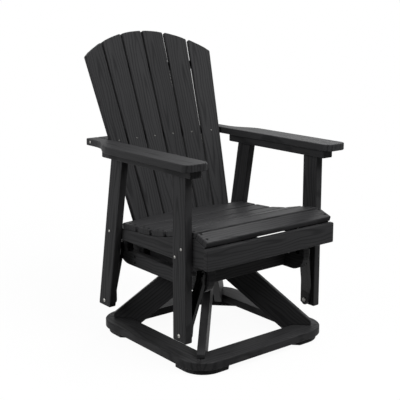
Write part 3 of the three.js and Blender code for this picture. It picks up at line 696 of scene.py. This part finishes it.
plateHead, deckHead = (turned([(0, 0)] + headRows(*plateBolts[head], hexagon=1.0),
                              plateBolts["sides"]) for head in ("plateHead", "deckHead"))
lowerSpots = squareSpots(plateBolts["lowerReach"], plateBolts["lowerZ"], 1)
upperSpots = squareSpots(plateBolts["upperReach"], plateBolts["upperZ"], -1)
deckSpots = squareSpots(plateBolts["upperReach"], plateBolts["deckZ"], 1)
makePiece("lower_plate_bolts", [placed(plateHead, lowerSpots)],
          "base", reflectionDimmedSteel)
makePiece("upper_plate_bolts", [placed(plateHead, upperSpots), placed(deckHead, deckSpots)],
          "carriage", reflectionDimmedSteel)
print("swivel made")


# Ledger boards: battens inside the carriage's side boards, which show as a dark band where the side
# boards are cut low. On each side a long one lies between the cross boards, against the ends of the
# deck boards, and a short one behind the rear cross board.
ledger = {
    "x": (150.2, 176.0), "z": (272.0, 349.0), "ease": 2.0,
    "runs": ((-203.9, 85.7), (114.0, 206.0)),   # from y to y, mm
    "outlinePoints": 16,
    "seed": 100,                                # of the grain, less or more one on each side
}


def easedBoard(x, y, z, ease):
    # A rounded rectangle carried along Y: at angle t of its outline a point is the nearest inner
    # corner plus ease * (cos t, sin t); the two end rings are drawn in by the ease and closed.
    halfStep = np.pi / ledger["outlinePoints"]
    t = np.linspace(0, 2 * np.pi, ledger["outlinePoints"], endpoint=False) + halfStep
    halfX, halfZ = (x[1] - x[0]) / 2, (z[1] - z[0]) / 2
    outX, outZ = np.sign(np.cos(t)), np.sign(np.sin(t))
    steps = np.array([(y[0], 0.0, 0), (y[0], ease, 1), (y[0] + ease, 0.0, 1),
                      (y[1] - ease, 0.0, 1), (y[1], ease, 1), (y[1], 0.0, 0)])
    alongY, drawn, full = steps[:, 0:1], steps[:, 1:2], steps[:, 2:3]
    atX = full * (outX * (halfX - ease) + (ease - drawn) * np.cos(t)) + sum(x) / 2
    atZ = full * (outZ * (halfZ - ease) + (ease - drawn) * np.sin(t)) + sum(z) / 2
    points = np.stack([atX, np.broadcast_to(alongY, atX.shape), atZ], -1)
    return points.reshape(-1, 3), ringFaces(len(steps), len(t))


for side, way in outward.items():
    x = tuple(sorted(way * edge for edge in ledger["x"]))
    boards = [easedBoard(x, run, ledger["z"], ledger["ease"]) for run in ledger["runs"]]
    centre = np.array([sum(x) / 2, bearing["middleY"], sum(ledger["z"]) / 2]) * mm
    lengthwise = np.array([(0.0, 1.0, 0.0), (0.0, 0.0, 1.0), (1.0, 0.0, 0.0)])
    grain = polyLumber(f"poly lumber, embossed, ledger {side}", centre, lengthwise,
                       ledger["seed"] + way)
    makePiece(f"ledger_boards_{side}", boards, "carriage", grain)
print("ledger boards made")


# Studio: pale floor, white surround, and three broad lamps: behind the chair on its left, which
# leaves the slats' gaps dark, high in front, and behind on its right

studio = {
    "floorHex": "#f2f2f2",
    "bounceHex": "#606060",     # what the light sees, so that little of it comes back up
    "floorSize": 40.0,
    "floorDrop": 0.2 * mm,      # the floor lies this far below the feet
    "nearGlow": 0.95,           # share of the floor near the chair that the eye sees as plain white
    "glowFrom": 0.6, "glowTo": 2.2,   # metres from the middle over which that share grows to all
    "ambient": 0.14,
    "lampAim": (0, 0, 0.5),
}
lamps = {
    "left": {"at": (-2.8, 0.6, 1.9), "size": 1.8, "power": 62},
    "front": {"at": (0.4, -2.0, 3.2), "size": 2.0, "power": 120},
    "behind": {"at": (1.6, 1.0, 2.3), "size": 1.4, "power": 26},
}


def whiteToCamera(tree, plain, glow):
    # the glow for rays from the camera, mirrors and glass, the plain shader for the light itself
    path = addNode(tree, "ShaderNodeLightPath")
    mirrored = addNode(tree, "ShaderNodeMath",
                       {0: path.outputs["Is Camera Ray"], 1: path.outputs["Is Glossy Ray"]},
                       operation="MAXIMUM")
    seen = addNode(tree, "ShaderNodeMath",
                   {0: mirrored.outputs[0], 1: path.outputs["Is Transmission Ray"]},
                   operation="MAXIMUM")
    return addNode(tree, "ShaderNodeMixShader",
                   {0: seen.outputs[0], 1: plain.outputs[0], 2: glow.outputs[0]})


def makeWorld():
    world = bpy.data.worlds.new("white surround")
    world.use_nodes = True
    tree = world.node_tree
    tree.nodes.clear()
    plain = addNode(tree, "ShaderNodeBackground", Strength=studio["ambient"])
    glow = addNode(tree, "ShaderNodeBackground", Strength=1.0)
    for background in (plain, glow):
        background.inputs[0].default_value = hexColour("#ffffff")
    both = whiteToCamera(tree, plain, glow)
    addNode(tree, "ShaderNodeOutputWorld", {"Surface": both.outputs[0]})
    bpy.context.scene.world = world


def makeFloor():
    # a flat square: corner (u, v) for u and v of -1 and 1 times half the size
    square = np.array([(-1, -1, 0), (1, -1, 0), (1, 1, 0), (-1, 1, 0)]) * studio["floorSize"] / 2
    mesh = bpy.data.meshes.new("floor")
    mesh.from_pydata((square - (0, 0, studio["floorDrop"])).tolist(), [], [(0, 1, 2, 3)])
    floor = bpy.data.objects.new("floor", mesh)
    bpy.context.collection.objects.link(floor)
    material = bpy.data.materials.new("matt paper, lit to white")
    material.use_nodes = True
    tree = material.node_tree
    tree.nodes.clear()
    paper = addNode(tree, "ShaderNodeBsdfDiffuse", Color=hexColour(studio["floorHex"]))
    bounce = addNode(tree, "ShaderNodeBsdfDiffuse", Color=hexColour(studio["bounceHex"]))
    white = addNode(tree, "ShaderNodeEmission", Strength=1.0)
    coords = addNode(tree, "ShaderNodeTexCoord")
    away = addNode(tree, "ShaderNodeVectorMath", {0: coords.outputs["Object"]}, operation="LENGTH")
    share = addNode(tree, "ShaderNodeMapRange", {"Value": away.outputs["Value"]},
                    From_Min=studio["glowFrom"], From_Max=studio["glowTo"],
                    To_Min=studio["nearGlow"], To_Max=1.0)
    lit = addNode(tree, "ShaderNodeMixShader",
                  {0: share.outputs[0], 1: paper.outputs[0], 2: white.outputs[0]})
    both = whiteToCamera(tree, bounce, lit)
    addNode(tree, "ShaderNodeOutputMaterial", {"Surface": both.outputs[0]})
    mesh.materials.append(material)


def makeLamps():
    aim = Vector(studio["lampAim"])
    for name, lamp in lamps.items():
        data = bpy.data.lights.new(name, "AREA")
        data.size = lamp["size"]
        data.energy = lamp["power"]
        light = bpy.data.objects.new(name, data)
        light.location = lamp["at"]
        light.rotation_euler = (aim - light.location).to_track_quat("-Z", "Y").to_euler()
        bpy.context.collection.objects.link(light)


makeWorld()
makeFloor()
makeLamps()


# Camera: where the photograph was taken from, worked out from the chair's square edges

cameraSetup = {
    "aim": (-0.0339, -0.0320, 0.6528),   # point on the axis of the lens
    "azimuth": -38.649,                  # degrees round +Z, 0 looks along +Y
    "elevation": 10.264,
    "roll": -0.054,
    "distance": 3.1697,
    "focalPixels": 882.0,                # for a picture 400 pixels wide
    "shiftPixels": -40.0,                # the picture's middle lies this far below the lens axis
    "pictureWidth": 400,
}


def makeCamera():
    setup = cameraSetup
    turn, rise = math.radians(setup["azimuth"]), math.radians(setup["elevation"])
    back = Vector((math.sin(turn) * math.cos(rise), -math.cos(turn) * math.cos(rise),
                   math.sin(rise)))
    data = bpy.data.cameras.new("photograph")
    data.sensor_fit = "HORIZONTAL"
    data.lens = data.sensor_width * setup["focalPixels"] / setup["pictureWidth"]
    data.shift_y = setup["shiftPixels"] / setup["pictureWidth"]
    camera = bpy.data.objects.new("photograph", data)
    camera.location = Vector(setup["aim"]) + back * setup["distance"]
    level = (-back).to_track_quat("-Z", "Y").to_matrix()
    rolled = level @ Matrix.Rotation(math.radians(-setup["roll"]), 3, "Z")
    camera.rotation_euler = rolled.to_euler()
    bpy.context.collection.objects.link(camera)
    bpy.context.scene.camera = camera


makeCamera()
bpy.context.scene.view_settings.view_transform = "Standard"
print("studio and camera ready")
